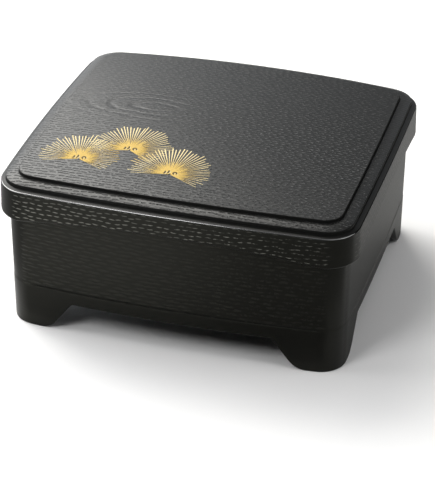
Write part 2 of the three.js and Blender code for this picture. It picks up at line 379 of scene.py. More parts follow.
def lid_inside():
    """The skirt's inner face, the flat seat and the raised ceiling."""
    inner = bend(SKIRT_WALL - SKIRT_FLARE - HEM_INNER_ROUND, HEM_INNER_ROUND, HEM_INNER_ROUND, DOWN, -IN)
    seat = bend(SKIRT_WALL + SEAT_ROUND, SEAT_HEIGHT - SEAT_ROUND, SEAT_ROUND, OUT, UP)
    ceiling_inset = PANEL_INSET + PANEL_THICKNESS
    ceiling_start = ceiling_inset + STEP_DRAFT + CEILING_ROUND
    ceiling_centre = PANEL_TOP - PANEL_THICKNESS - CEILING_ROUND
    ceiling = bend(ceiling_start, ceiling_centre, CEILING_ROUND, OUT, UP)
    shares = [(step + 1) / (CROWN_STEPS + 1) for step in reversed(range(CROWN_STEPS))]
    outer = [
        *parallel(inner, RIM_CORNER, 0, EVEN, hem),
        *parallel(seat, RIM_CORNER, 0, EVEN, level),
        *parallel([(ceiling_inset, SEAT_HEIGHT)], RIM_CORNER, 0, EVEN, level),
        *parallel(ceiling, RIM_CORNER, 0, EVEN, crown),
    ]
    corner = RIM_CORNER - ceiling_start
    return outer + [ring(ceiling[-1], corner, EVEN, crown, share) for share in shares]


def make_lid(top_coat, step_coat, rim_coat, edge_coat, skirt_coat, inside_coat):
    ledge_low = RIM_HEIGHT + LEDGE_RISE
    panel_step = step_rings(PANEL_INSET, PANEL_CORNER, PANEL_TOP, ledge_low + LEDGE_FALL, PANEL_FOOT_ROUND)
    ledge_step = step_rings(LEDGE_INSET, LEDGE_CORNER, ledge_low, RIM_HEIGHT, LEDGE_FOOT_ROUND)
    strip_rings, edge, edge_foot = rim_rings()
    coats = [
        (top_coat, panel_rings()),
        (step_coat, panel_step),
        (top_coat, ledge_rings()),
        (step_coat, ledge_step),
        (rim_coat, strip_rings),
        (edge_coat, edge),
        (skirt_coat, edge_foot + skirt_rings()),
        (inside_coat, lid_inside()),
    ]
    return shell("lid_shell", coats, PANEL_TOP, PANEL_TOP - PANEL_THICKNESS)


def tub_inside():
    """Floor, round to the wall, and the rebate that the tray hangs in."""
    inner = TUB_INSET + TUB_WALL
    rebate = TUB_RIM - REBATE_DEPTH
    floor_inset = inner + TUB_TAPER + WALL_DRAFT + FLOOR_ROUND
    section = [
        *bend(floor_inset, FLOOR_TOP + FLOOR_ROUND, FLOOR_ROUND, DOWN, OUT),
        *bend(inner - REBATE_EDGE, rebate - REBATE_EDGE, REBATE_EDGE, IN, UP),
        (TUB_INSET + TUB_LIP, rebate),
    ]
    return parallel(section, RIM_CORNER, 0, ARCHED, level)


def creased(rings):
    """The crease's rings, drawn back to the plain wall where they pass the corners."""
    above, groove, below = rings
    wall = above + (below - above) * (0.5 + CREASE_LOW_SHARE)
    side_end = HALF_DEPTH - SIDE_HEM_SHOULDER
    front_end = HALF_WIDTH - FRONT_HEM_SHOULDER
    on_front = np.abs(wall[:, 1]) > HALF_DEPTH - FRONT_BOW - TUB_FOOT_INSET - CREASE_FADE
    left_over = np.where(on_front, front_end - np.abs(wall[:, 0]), side_end - np.abs(wall[:, 1]))
    weight = np.clip(left_over / CREASE_FADE, 0, 1)[:, None]
    weight = weight * weight * (3 - 2 * weight)
    return [above, wall + (groove - wall) * weight, below]


def tub_outside():
    """Lip, outer wall, crease and foot band down to the arched edge."""
    lip = TUB_INSET + TUB_LIP
    above, below = CREASE_HEIGHT + CREASE_WIDTH / 2, CREASE_HEIGHT - CREASE_WIDTH / 2
    groove = CREASE_HEIGHT - CREASE_WIDTH * CREASE_LOW_SHARE
    wall_inset = [TUB_FOOT_INSET - TUB_TAPER * height / TUB_RIM for height in (above, groove, below)]
    top = [
        *bend(lip - LIP_INNER_EDGE, TUB_RIM - LIP_INNER_EDGE, LIP_INNER_EDGE, IN, UP),
        *bend(TUB_INSET + LIP_EDGE, TUB_RIM - LIP_EDGE, LIP_EDGE, UP, OUT),
    ]
    crease = [
        (wall_inset[0], above),
        (wall_inset[1] + CREASE_DEPTH, groove),
        (wall_inset[2] - BAND_PROUD, below),
    ]
    outer = TUB_FOOT_INSET - BAND_PROUD
    inner = TUB_FOOT_INSET + BAND_WALL
    edge = [
        *bend(outer + TOE_EDGE, TOE_EDGE, TOE_EDGE, OUT, DOWN),
        *bend(inner - TOE_INNER_EDGE, TOE_INNER_EDGE, TOE_INNER_EDGE, DOWN, -IN),
    ]
    underside = FLOOR_TOP - FLOOR_THICKNESS
    under = bend(inner + UNDERSIDE_ROUND, underside - UNDERSIDE_ROUND, UNDERSIDE_ROUND, OUT, UP)
    return [
        *parallel(top, RIM_CORNER, 0, ARCHED, level),
        *creased(parallel(crease, RIM_CORNER, 0, ARCHED, level)),
        *parallel(edge, RIM_CORNER, 0, ARCHED, foot_edge),
        *parallel(under, RIM_CORNER, 0, ARCHED, level),
    ]


def make_tub(outside, inside):
    coats = [(inside, tub_inside()), (outside, tub_outside())]
    return shell("tub_shell", coats, FLOOR_TOP, FLOOR_TOP - FLOOR_THICKNESS)


def make_tray(coat):
    """Floor, round wall and the flange that rests in the tub's rebate."""
    flange_under = TUB_RIM - REBATE_DEPTH + SEAT_GAP
    flange_top = flange_under + TRAY_FLANGE
    flange_inset = TUB_INSET + TUB_LIP + TRAY_CLEARANCE
    outer = TUB_INSET + TUB_WALL + TRAY_CLEARANCE
    inner = outer + TRAY_WALL
    bottom = flange_top - TRAY_DEPTH
    inner_round = TRAY_ROUND - TRAY_WALL
    floor = bottom + TRAY_FLOOR
    edge = TRAY_FLANGE_EDGE
    section = [
        *bend(inner + TRAY_DRAFT + inner_round, floor + inner_round, inner_round, DOWN, OUT),
        *bend(inner - edge, flange_top - edge, edge, IN, UP),
        *bend(flange_inset + edge, flange_top - edge, edge, UP, OUT),
        *bend(flange_inset + edge, flange_under + edge, edge, OUT, DOWN),
        (outer, flange_under),
        *bend(outer + TRAY_DRAFT + TRAY_ROUND, bottom + TRAY_ROUND, TRAY_ROUND, OUT, DOWN),
    ]
    return shell("tray_shell", [(coat, parallel(section, RIM_CORNER, 0, EVEN, level))], floor, bottom)


# Pine-needle fans printed on the lid: places of the hubs and sizes, in millimetres and degrees.
FANS = {
    "pine_fan_left": {"hub": (-54.7, -49.7), "reach": 24.0, "lean": 104, "sweep": (-22, 193), "seed": 3},
    "pine_fan_back": {"hub": (-33.4, -35.5), "reach": 24.6, "lean": 102, "sweep": (-31, 192), "seed": 5},
    "pine_fan_front": {"hub": (-7.6, -52.7), "reach": 24.8, "lean": 103, "sweep": (-25, 188), "seed": 8},
}
NEEDLE_STEP = 4.2
NEEDLE_START = 0.6
NEEDLE_ROOT_WIDTH = 0.25
NEEDLE_SHORTENING = 4.5
LONG_NEEDLE_WIDTH_SHARE = 0.36
SHORT_NEEDLE_WIDTH_SHARE = 0.26
SHORT_NEEDLE_SHARE = 0.42
SIDE_NEEDLE_THINNING = 0.35
SIDE_NEEDLE_SPREAD = 0.5
NEEDLE_TILTS = (-0.4, 0.4)
NEEDLE_BOWS = (-0.3, 0.3)
NEEDLE_LENGTH_SHARES = (0.9, 1.04)
NEEDLE_WIDTH_SHARES = (0.88, 1.12)
SHORT_NEEDLE_LENGTH_SHARES = (0.75, 1.3)
LONG_TIP_SHARE = 0.85
SHORT_TIP_SHARE = 0.5
PRINT_LIFT = 0.03
PRINT_SPREAD = 0.05
PRINT_SINK = 0.05
PRINT_STEPS = 6


def strip(points, widths, height, sink):
    """A thin closed bar on the crowned panel, along a row of (x, y) points."""
    points = np.asarray(points, float)
    along = np.gradient(points, axis=0)
    along /= np.linalg.norm(along, axis=1)[:, None]
    across = np.column_stack([-along[:, 1], along[:, 0]]) * np.asarray(widths)[:, None] / 2
    sides = [points - across, points + across]
    base = [PANEL_TOP + crown(side[:, 0], side[:, 1]) for side in sides]
    rows = [
        np.column_stack([sides[0], base[0] - sink]),
        np.column_stack([sides[1], base[1] - sink]),
        np.column_stack([sides[1], base[1] + height]),
        np.column_stack([sides[0], base[0] + height]),
    ]
    count = len(points)
    faces = [(0, 3 * count, 2 * count, count)]
    faces += [(count - 1, 2 * count - 1, 3 * count - 1, 4 * count - 1)]
    for row in range(4):
        low, high = row * count, (row + 1) % 4 * count
        faces += [(low + k, high + k, high + k + 1, low + k + 1) for k in range(count - 1)]
    return np.concatenate(rows), faces


def printed(name, strips, material):
    """One mesh of many printed strips."""
    points, faces, start = [], [], 0
    for strip_points, strip_faces in strips:
        points.append(strip_points)
        faces += [tuple(start + index for index in face) for face in strip_faces]
        start += len(strip_points)
    mesh = bpy.data.meshes.new(name)
    mesh.from_pydata((np.concatenate(points) * MM).tolist(), [], faces)
    mesh.materials.append(material)
    made = bpy.data.objects.new(name, mesh)
    bpy.context.scene.collection.objects.link(made)
    return made


def needle_angles(lean, sweep):
    """Directions of the long needles, which stand closest at the fan's middle."""
    angles = [lean]
    for end, turn in zip(sweep, (-1, 1)):
        angle = lean
        while (end - angle) * turn > 0:
            spread = 1 + SIDE_NEEDLE_SPREAD * min(abs(angle - lean) / 90, 1)
            angle += turn * NEEDLE_STEP * spread
            angles.append(angle)
    return sorted(angles)


def make_fan(name, hub, reach, lean, sweep, seed, material):
    """A fan of long needles that widen to their blunt tips, with short ones between them."""
    chance = random.Random(seed)
    strips = []
    long_ones = needle_angles(lean, sweep)
    short_ones = [(before + after) / 2 for before, after in zip(long_ones, long_ones[1:])]
    for angle in sorted(long_ones + short_ones):
        is_short = angle in short_ones
        tilt = math.radians(angle + chance.uniform(*NEEDLE_TILTS))
        length = reach - NEEDLE_SHORTENING * (abs(angle - lean) / 90) ** 1.5
        length *= chance.uniform(*NEEDLE_LENGTH_SHARES)
        width_share = LONG_NEEDLE_WIDTH_SHARE * chance.uniform(*NEEDLE_WIDTH_SHARES)
        width_share *= 1 - SIDE_NEEDLE_THINNING * min(abs(angle - lean) / 90, 1)
        if is_short:
            length *= SHORT_NEEDLE_SHARE * chance.uniform(*SHORT_NEEDLE_LENGTH_SHARES)
            width_share = SHORT_NEEDLE_WIDTH_SHARE
        away = np.linspace(NEEDLE_START, length, PRINT_STEPS + 1)
        bow = chance.uniform(*NEEDLE_BOWS) * (away / length) ** 3
        x = hub[0] + away * math.cos(tilt) - bow * math.sin(tilt)
        y = hub[1] + away * math.sin(tilt) + bow * math.cos(tilt)
        widths = np.maximum(away * math.radians(NEEDLE_STEP) * width_share, NEEDLE_ROOT_WIDTH)
        widths[-1] *= SHORT_TIP_SHARE if is_short else LONG_TIP_SHARE
        height = PRINT_LIFT + PRINT_SPREAD * chance.random()
        strips.append(strip(np.column_stack([x, y]), widths, height, PRINT_SINK))
    return printed(name, strips, material)


# Curls of the bud at each hub, in millimetres and degrees: place from the hub, heading, length, turn.
CURLS = ((-2.6, 1.2, 85, 2.6, 30), (-0.9, 1.8, 85, 3.0, 30), (1.9, 2.2, 25, 4.2, -150))
CURL_WIDTH = 0.9
CURL_NARROWING = 1.6
# The glints are pale strokes beside the dark curls: painted highlights.
GLINT_WIDTH = 0.3
GLINT_OFFSET = (0.8, -0.5)
CURL_LIFT = 0.12
GLINT_LIFT = CURL_LIFT - PRINT_LIFT


def make_curls(name, hub, offset, width, height, material):
    """Small curved strokes round a hub."""
    strips = []
    for place_x, place_y, direction, length, turn in CURLS:
        along = np.linspace(-0.5, 0.5, PRINT_STEPS + 1)
        heading = np.radians(direction + turn * along)
        x = hub[0] + place_x + offset[0] + length * along * np.cos(heading)
        y = hub[1] + place_y + offset[1] + length * along * np.sin(heading)
        widths = width * (1 - CURL_NARROWING * along**2)
        strips.append(strip(np.column_stack([x, y]), widths, height, PRINT_SINK))
    return printed(name, strips, material)


class Graph:
    """Short calls that make and join the nodes of a material or world."""

    def __init__(self, owner):
        owner.use_nodes = True
        self.tree = owner.node_tree
        self.tree.nodes.clear()

    def feed(self, socket, value):
        if isinstance(value, bpy.types.NodeSocket):
            self.tree.links.new(value, socket)
        else:
            socket.default_value = value

    def add(self, kind, inputs=None, **settings):
        node = self.tree.nodes.new(kind)
        for key, value in settings.items():
            setattr(node, key, value)
        for key, value in (inputs or {}).items():
            self.feed(node.inputs[key], value)
        return node

    def math(self, operation, first, second=0.0, third=0.0):
        node = self.add("ShaderNodeMath", {0: first, 1: second, 2: third}, operation=operation)
        return node.outputs[0]

    def scaled(self, vector, factor):
        node = self.add("ShaderNodeVectorMath", {0: vector, "Scale": factor}, operation="SCALE")
        return node.outputs[0]

    def split(self, vector):
        return self.add("ShaderNodeSeparateXYZ", {0: vector}).outputs

    def join(self, x, y, z=0.0):
        return self.add("ShaderNodeCombineXYZ", {0: x, 1: y, 2: z}).outputs[0]

    def ramp(self, value, low, high, start=0.0, end=1.0):
        """A smooth step from start to end as a value goes from low to high."""
        inputs = {"Value": value, "From Min": low, "From Max": high, "To Min": start, "To Max": end}
        return self.add("ShaderNodeMapRange", inputs, interpolation_type="SMOOTHSTEP").outputs[0]

    def mix(self, factor, first, second):
        node = self.add("ShaderNodeMix", {0: factor, 6: first, 7: second}, data_type="RGBA")
        return node.outputs[2]

    def chance(self, cell):
        """Three random shares for a cell of whole numbers."""
        return self.add("ShaderNodeTexWhiteNoise", {"Vector": cell}).outputs["Color"]

    def bump(self, height, distance):
        inputs = {"Height": height, "Distance": distance, "Strength": 1.0}
        return self.add("ShaderNodeBump", inputs).outputs[0]

    def noise(self, vector, scale, detail=2.0, roughness=0.5):
        inputs = {"Vector": vector, "Scale": scale, "Detail": detail, "Roughness": roughness}
        return self.add("ShaderNodeTexNoise", inputs).outputs[0]


# Pores of the moulded wood grain, in millimetres: rows of short dashes, each half a pitch on from the last.
TOP_GRAIN = {"pitch": (3.6, 2.1), "size": (3.6, 0.8), "wander": 2.0, "ripple": 0.8, "jitter": 0.42}
SKIRT_GRAIN = {"pitch": (4.0, 2.25), "size": (3.5, 0.6), "wander": 0.6, "ripple": 0.9, "jitter": 0.4}
TUB_GRAIN = {"pitch": (8.0, 2.1), "size": (8.5, 1.3), "wander": 0.8, "ripple": 1.2, "jitter": 0.3}
TOP_SEED, FRONT_SEED, SIDE_SEED = 1.0, 2.0, 3.0
WANDER_SCALES = (0.03, 0.08)
RIPPLE_SCALE = 0.35
DASH_EDGE = (1.1, 0.1)
DASH_CHANCE = (-1.0, 0.7)
# Shares of the walls' dashes left at the right end: a painted fall-off of their glints.
SKIRT_PAINTED_GLINT_FADE = 0.3
TUB_PAINTED_GLINT_FADE = 0.45
TOP_PORE_DEPTH = 0.4
TOP_PORE_STRENGTH = (0.2, 1.35)
SKIRT_PORE_DEPTH = 0.3
TUB_PORE_DEPTH = 0.12
TOP_LINE_DEPTH = 0.08
SPECK_DEPTH = 0.05
LINE_DEPTH = 0.04
FINE_DEPTH = 0.008
BLACK = (0.003, 0.0031, 0.0026, 1)
TOP_IOR = 1.45
EDGE_IOR = 2.3
STEP_IOR = 1.2
WALL_IOR = 1.28
# Lighter colours of the dashes on the skirt and the tub: painted glints.
SKIRT_PAINTED_GLINT_COLOUR = (0.22, 0.22, 0.195, 1)
TUB_PAINTED_GLINT_COLOUR = (0.015, 0.015, 0.0125, 1)
SKIRT_FINISH = (SKIRT_GRAIN, SKIRT_PORE_DEPTH, SKIRT_PAINTED_GLINT_COLOUR, SKIRT_PAINTED_GLINT_FADE)
TUB_FINISH = (TUB_GRAIN, TUB_PORE_DEPTH, TUB_PAINTED_GLINT_COLOUR, TUB_PAINTED_GLINT_FADE)

# Nested figure of the wood grain on the lid's panel: the centre and the half axes of its inner ring.
FIGURE_CENTRE = (-35.3, 11.5)
FIGURE_HALF_AXES = (11.5, 4.2)
FIGURE_RING_STEP = 1.1
FIGURE_DEPTH = 0.11
FIGURE_FADE = (6.0, 1.5)
FIGURE_RIGHT_FADE = (3.0, 0.0)
FIGURE_WARP = 0.8
FIGURE_WARP_SCALES = (0.05, 0.12)
FIGURE_SHARPNESS = 3.0

# Roughness of the blacks, and the scales, limits and shares of their grain, in millimetres.
TOP_ROUGHNESS = 0.26
TOP_DASH_ROUGHNESS = 0.12
WALL_ROUGHNESS = 0.28
SIDE_ROUGHNESS = 0.18
STEP_ROUGHNESS = 0.35
RIM_ROUGHNESS = 0.3
EDGE_ROUGHNESS = 0.12
FINE_ROUGHNESS = 0.08
PLAIN_FINE_ROUGHNESS = 0.05
PLAIN_FINE_DEPTH = 0.003
FINE_SCALE = 2.5
TOP_LINE_SCALES = (0.12, 0.9)
SPECK_SCALES = (0.35, 1.5)
WALL_LINE_SCALES = (0.04, 1.1)
TOP_WORKED_Y = (40, -75)
WALL_TINT = (1, 1, 0.86, 1)
# Where along X the walls' dashes and their painted glints fade, and where they weaken near the skirt's top.
WALL_PAINTED_GLINT_X = (-60, 85)
SKIRT_TOP_Z = (77, 71)
SKIRT_TOP_SHARE = 0.35
CREASE_CLEARANCE = 2
BROKEN_X = (-30, 40)
BROKEN_SCALE = 0.8
BROKEN_RAMP = (0.42, 0.58, 0.2, 1.4)
SIDE_DASH_SHARE = 0.25
PLAIN_CORNER_NORMALS = (0.90, 0.97)

# Colours and finish of the vermilion and the gold.
RED_DARK = (0.36, 0.026, 0.013, 1)
RED_LIGHT = (0.43, 0.036, 0.018, 1)
RED_IOR = 1.4
RED_ROUGHNESS = 0.16
RED_CLOUD_SCALE = 0.05
RED_CLOUD_RAMP = (0.3, 0.7)
RED_FINE_SCALE = 1.2
RED_FINE_DEPTH = 0.02
GOLD_IOR = 1.25
GOLD_ROUGHNESS = 0.55
GOLD_GRAIN_ROUGHNESS = 0.15
GOLD_GRAIN_SCALE = 3.0
GOLD_GRAIN_RAMP = (0.35, 0.75, 0.0, 0.35)
GOLD_PALE_REACH = (7, 18)
GOLD_SHADE = (0.36, 0.25, 0.07, 1)
GOLD_INNER = (0.58, 0.40, 0.11, 1)
GOLD_OUTER = (0.76, 0.64, 0.36, 1)
# Colour of the painted highlights beside the bud's curls.
BUD_PAINTED_GLINT_GOLD = (0.66, 0.58, 0.36, 1)
BUD_INK = (0.02, 0.018, 0.014, 1)


def pores(graph, along, across, seed, pitch, size, wander, ripple, jitter):
    """Rows of short dashes along the grain: 1 in the middle of a dash and 0 between them."""
    slow_along = graph.math("MULTIPLY", along, WANDER_SCALES[0])
    slow_across = graph.math("MULTIPLY", across, WANDER_SCALES[1])
    wandered = graph.noise(graph.join(slow_along, slow_across, seed), 1.0)
    across = graph.math("MULTIPLY_ADD", wandered, wander, across)
    rippled = graph.noise(graph.join(along, across, seed), RIPPLE_SCALE)
    across = graph.math("MULTIPLY_ADD", rippled, ripple, across)
    row_place = graph.math("DIVIDE", across, pitch[1])
    row = graph.math("FLOOR", row_place)
    row_chance = graph.split(graph.chance(graph.join(row, seed)))
    shift = graph.math("MULTIPLY_ADD", row, 0.5, graph.math("MULTIPLY", row_chance[0], jitter))
    column_place = graph.math("ADD", graph.math("DIVIDE", along, pitch[0]), shift)
    column = graph.math("FLOOR", column_place)
    chance = graph.split(graph.chance(graph.join(column, row, seed)))
    off_along = graph.math("MULTIPLY_ADD", chance[0], -jitter, graph.math("SUBTRACT", column_place, column))
    off_across = graph.math("MULTIPLY_ADD", chance[1], -jitter, graph.math("SUBTRACT", row_place, row))
    middle = (1 - jitter) / 2
    off_along = graph.math("SUBTRACT", off_along, middle)
    off_across = graph.math("SUBTRACT", off_across, middle)
    reach_along = graph.math("MULTIPLY", off_along, 2 * pitch[0] / size[0])
    reach_across = graph.math("MULTIPLY", off_across, 2 * pitch[1] / size[1])
    squared = graph.math("MULTIPLY", reach_across, reach_across)
    squared = graph.math("MULTIPLY_ADD", reach_along, reach_along, squared)
    return graph.math("MULTIPLY", graph.ramp(squared, *DASH_EDGE), graph.ramp(chance[2], *DASH_CHANCE))


def face_shares(graph, normal):
    """How far a point belongs to the front or back and to a side, with plain corners."""
    nx, ny, _ = graph.split(normal)
    on_front = graph.ramp(graph.math("ABSOLUTE", ny), *PLAIN_CORNER_NORMALS)
    on_side = graph.ramp(graph.math("ABSOLUTE", nx), *PLAIN_CORNER_NORMALS)
    return on_front, on_side


def figure(graph, x, y):
    """Nested rings of the grain, drawn out along the panel, as a smooth wave that fades outwards."""
    stretched = [graph.math("MULTIPLY", value, scale) for value, scale in zip((x, y), FIGURE_WARP_SCALES)]
    warp = graph.noise(graph.join(*stretched), 1.0)
    off_x = graph.math("DIVIDE", graph.math("SUBTRACT", x, FIGURE_CENTRE[0]), FIGURE_HALF_AXES[0])
    off_y = graph.math("DIVIDE", graph.math("SUBTRACT", y, FIGURE_CENTRE[1]), FIGURE_HALF_AXES[1])
    squared = graph.math("MULTIPLY_ADD", off_x, off_x, graph.math("MULTIPLY", off_y, off_y))
    away = graph.math("MULTIPLY_ADD", warp, FIGURE_WARP, graph.math("SQRT", squared))
    phase = graph.math("MULTIPLY", away, 2 * math.pi / FIGURE_RING_STEP)
    wave = graph.math("MULTIPLY_ADD", graph.math("SINE", phase), 0.5, 0.5)
    near = graph.math("MULTIPLY", graph.ramp(away, *FIGURE_FADE), graph.ramp(off_x, *FIGURE_RIGHT_FADE))
    return graph.math("MULTIPLY", graph.math("POWER", wave, FIGURE_SHARPNESS), near)


def plain_lacquer(name, ior, roughness):
    """Smooth black, for the narrow steps and the rim."""
    material = bpy.data.materials.new(name)
    graph = Graph(material)
    place = graph.scaled(graph.add("ShaderNodeTexCoord").outputs["Object"], 1 / MM)
    fine = graph.noise(place, FINE_SCALE)
    bump = graph.bump(fine, PLAIN_FINE_DEPTH * MM)
    shine = graph.math("MULTIPLY_ADD", fine, PLAIN_FINE_ROUGHNESS, roughness)
    inputs = {"Base Color": BLACK, "Roughness": shine, "IOR": ior, "Normal": bump}
    shader = graph.add("ShaderNodeBsdfPrincipled", inputs)
    graph.add("ShaderNodeOutputMaterial", {"Surface": shader.outputs[0]})
    return material


def grained_top(name):
    """Satin black over a moulded wood grain, for the ledge and the panel."""
    material = bpy.data.materials.new(name)
    graph = Graph(material)
    place = graph.add("ShaderNodeTexCoord").outputs
    x, y, z = graph.split(graph.scaled(place["Object"], 1 / MM))
    grain_strength = graph.ramp(y, *TOP_WORKED_Y, *TOP_PORE_STRENGTH)
    dashes = graph.math("MULTIPLY", pores(graph, x, y, TOP_SEED, **TOP_GRAIN), grain_strength)
    rings = figure(graph, x, y)
    stretch, scale = TOP_LINE_SCALES
    lines = graph.noise(graph.join(graph.math("MULTIPLY", x, stretch), y), scale, 3.0)
    lines = graph.math("MULTIPLY", lines, grain_strength)
    stretch, scale = SPECK_SCALES
    specks = graph.noise(graph.join(graph.math("MULTIPLY", x, stretch), y), scale, 1.0)
    specks = graph.math("MULTIPLY", specks, grain_strength)
    fine = graph.noise(graph.join(x, y, z), FINE_SCALE)
    height = graph.math("MULTIPLY", dashes, -TOP_PORE_DEPTH * MM)
    height = graph.math("MULTIPLY_ADD", rings, -FIGURE_DEPTH * MM, height)
    height = graph.math("MULTIPLY_ADD", lines, TOP_LINE_DEPTH * MM, height)
    height = graph.math("MULTIPLY_ADD", specks, SPECK_DEPTH * MM, height)
    height = graph.math("MULTIPLY_ADD", fine, FINE_DEPTH * MM, height)
    bump = graph.bump(height, 1.0)
    rough = graph.math("MULTIPLY_ADD", dashes, TOP_DASH_ROUGHNESS, TOP_ROUGHNESS)
    roughness = graph.math("MULTIPLY_ADD", fine, FINE_ROUGHNESS, rough)
    inputs = {"Base Color": BLACK, "Roughness": roughness, "IOR": TOP_IOR, "Normal": bump}
    shader = graph.add("ShaderNodeBsdfPrincipled", inputs)
    graph.add("ShaderNodeOutputMaterial", {"Surface": shader.outputs[0]})
    return material


def grained_wall(name, grain, depth, painted_glint_colour, fade):
    """Satin black over rows of moulded dashes, which the plain corners leave out, in a lighter colour that
    is a painted glint and fades to the right and near the skirt's top.
    """
    material = bpy.data.materials.new(name)
    graph = Graph(material)
    place = graph.add("ShaderNodeTexCoord").outputs
    x, y, z = graph.split(graph.scaled(place["Object"], 1 / MM))
    on_front, on_side = face_shares(graph, place["Normal"])
    # Painted fall-off of the glints: the dashes' strength, and with it their lighter colour, falls from
    # left to right and near the skirt's top.
    painted_glint_from_left = graph.ramp(x, *WALL_PAINTED_GLINT_X, 1.0, fade)
    grain_strength = graph.math("MULTIPLY", painted_glint_from_left, graph.ramp(z, *SKIRT_TOP_Z, SKIRT_TOP_SHARE, 1.0))
    bits = graph.ramp(graph.noise(graph.join(x, 2.0, z), BROKEN_SCALE, 1.0), *BROKEN_RAMP)
    broken = graph.math("MULTIPLY_ADD", graph.math("SUBTRACT", bits, 1.0), graph.ramp(x, *BROKEN_X), 1.0)
    grain_strength = graph.math("MULTIPLY", grain_strength, broken)
    grain_strength = graph.math("MULTIPLY", grain_strength, graph.ramp(z, CREASE_HEIGHT - CREASE_CLEARANCE, CREASE_HEIGHT))
    grain_strength = graph.math("MULTIPLY", on_front, grain_strength)
    front = graph.math("MULTIPLY", pores(graph, x, z, FRONT_SEED, **grain), grain_strength)
    side = graph.math("MULTIPLY", pores(graph, y, z, SIDE_SEED, **grain), on_side)
    dashes = graph.math("MULTIPLY_ADD", side, SIDE_DASH_SHARE, front)
    stretch, scale = WALL_LINE_SCALES
    stretched = [graph.math("MULTIPLY", value, stretch) for value in (x, y)]
    lines = graph.noise(graph.join(*stretched, z), scale, 3.0)
    fine = graph.noise(graph.join(x, y, z), FINE_SCALE)
    height = graph.math("MULTIPLY", dashes, -depth * MM)
    height = graph.math("MULTIPLY_ADD", lines, LINE_DEPTH * MM, height)
    height = graph.math("MULTIPLY_ADD", fine, FINE_DEPTH * MM, height)
    bump = graph.bump(height, 1.0)
    rough = graph.math("MULTIPLY_ADD", on_side, SIDE_ROUGHNESS, WALL_ROUGHNESS)
    roughness = graph.math("MULTIPLY_ADD", fine, FINE_ROUGHNESS, rough)
    # The dashes' lighter colour is a painted glint.
    colour = graph.mix(dashes, BLACK, painted_glint_colour)
    inputs = {"Base Color": colour, "Roughness": roughness, "IOR": WALL_IOR, "Normal": bump}
    shader = graph.add("ShaderNodeBsdfPrincipled", {**inputs, "Specular Tint": WALL_TINT})
    graph.add("ShaderNodeOutputMaterial", {"Surface": shader.outputs[0]})
    return material


def vermilion_lacquer(name):
    """Smooth glossy vermilion with faint brushing."""
    material = bpy.data.materials.new(name)
    graph = Graph(material)
    place = graph.scaled(graph.add("ShaderNodeTexCoord").outputs["Object"], 1 / MM)
    cloud = graph.noise(place, RED_CLOUD_SCALE, 3.0)
    fine = graph.noise(place, RED_FINE_SCALE)
    colour = graph.mix(graph.ramp(cloud, *RED_CLOUD_RAMP), RED_DARK, RED_LIGHT)
    roughness = graph.math("MULTIPLY_ADD", fine, FINE_ROUGHNESS, RED_ROUGHNESS)
    bump = graph.bump(fine, RED_FINE_DEPTH * MM)
    inputs = {"Base Color": colour, "Roughness": roughness, "IOR": RED_IOR, "Normal": bump}
    shader = graph.add("ShaderNodeBsdfPrincipled", inputs)
    graph.add("ShaderNodeOutputMaterial", {"Surface": shader.outputs[0]})
    return material


def gold_print(name, inner, outer):
    """Print in one colour round each hub and another towards the needles' tips."""
    material = bpy.data.materials.new(name)
    graph = Graph(material)
    place = graph.scaled(graph.add("ShaderNodeTexCoord").outputs["Object"], 1 / MM)
    x, y, _ = graph.split(place)
    nearest = None
    for fan in FANS.values():
        hub_x, hub_y = fan["hub"]
        offset = graph.join(graph.math("SUBTRACT", x, hub_x), graph.math("SUBTRACT", y, hub_y))
        away = graph.add("ShaderNodeVectorMath", {0: offset}, operation="LENGTH").outputs["Value"]
        nearest = away if nearest is None else graph.math("MINIMUM", nearest, away)
    grain = graph.noise(place, GOLD_GRAIN_SCALE)
    colour = graph.mix(graph.ramp(nearest, *GOLD_PALE_REACH), inner, outer)
    colour = graph.mix(graph.ramp(grain, *GOLD_GRAIN_RAMP), colour, GOLD_SHADE)
    roughness = graph.math("MULTIPLY_ADD", grain, GOLD_GRAIN_ROUGHNESS, GOLD_ROUGHNESS)
    inputs = {"Base Color": colour, "Roughness": roughness, "IOR": GOLD_IOR}
    shader = graph.add("ShaderNodeBsdfPrincipled", inputs)
    graph.add("ShaderNodeOutputMaterial", {"Surface": shader.outputs[0]})
    return material


FLOOR_SIZE = 6.0
FLOOR_COLOUR = (0.9, 0.9, 0.9, 1)
FLOOR_FADE = (0.5, 1.1)


def make_floor():
    """A large pale floor that keeps the shadow and turns white to the camera far from the box."""
    half = FLOOR_SIZE / 2
    mesh = bpy.data.meshes.new("floor")
    corners = [(-half, -half, 0), (half, -half, 0), (half, half, 0), (-half, half, 0)]
    mesh.from_pydata(corners, [], [(0, 1, 2, 3)])
    material = bpy.data.materials.new("floor")
    graph = Graph(material)
    diffuse = graph.add("ShaderNodeBsdfDiffuse", {"Color": FLOOR_COLOUR})
    place = graph.add("ShaderNodeTexCoord").outputs["Object"]
    away = graph.add("ShaderNodeVectorMath", {0: place}, operation="LENGTH").outputs["Value"]
    camera = graph.add("ShaderNodeLightPath").outputs["Is Camera Ray"]
    share = graph.math("MULTIPLY", graph.ramp(away, *FLOOR_FADE), camera)
    white = graph.add("ShaderNodeEmission", {"Strength": 1.0})
    both = graph.add("ShaderNodeMixShader", {0: share, 1: diffuse.outputs[0], 2: white.outputs[0]})
    graph.add("ShaderNodeOutputMaterial", {"Surface": both.outputs[0]})
    mesh.materials.append(material)
    floor = bpy.data.objects.new("floor", mesh)
    bpy.context.scene.collection.objects.link(floor)


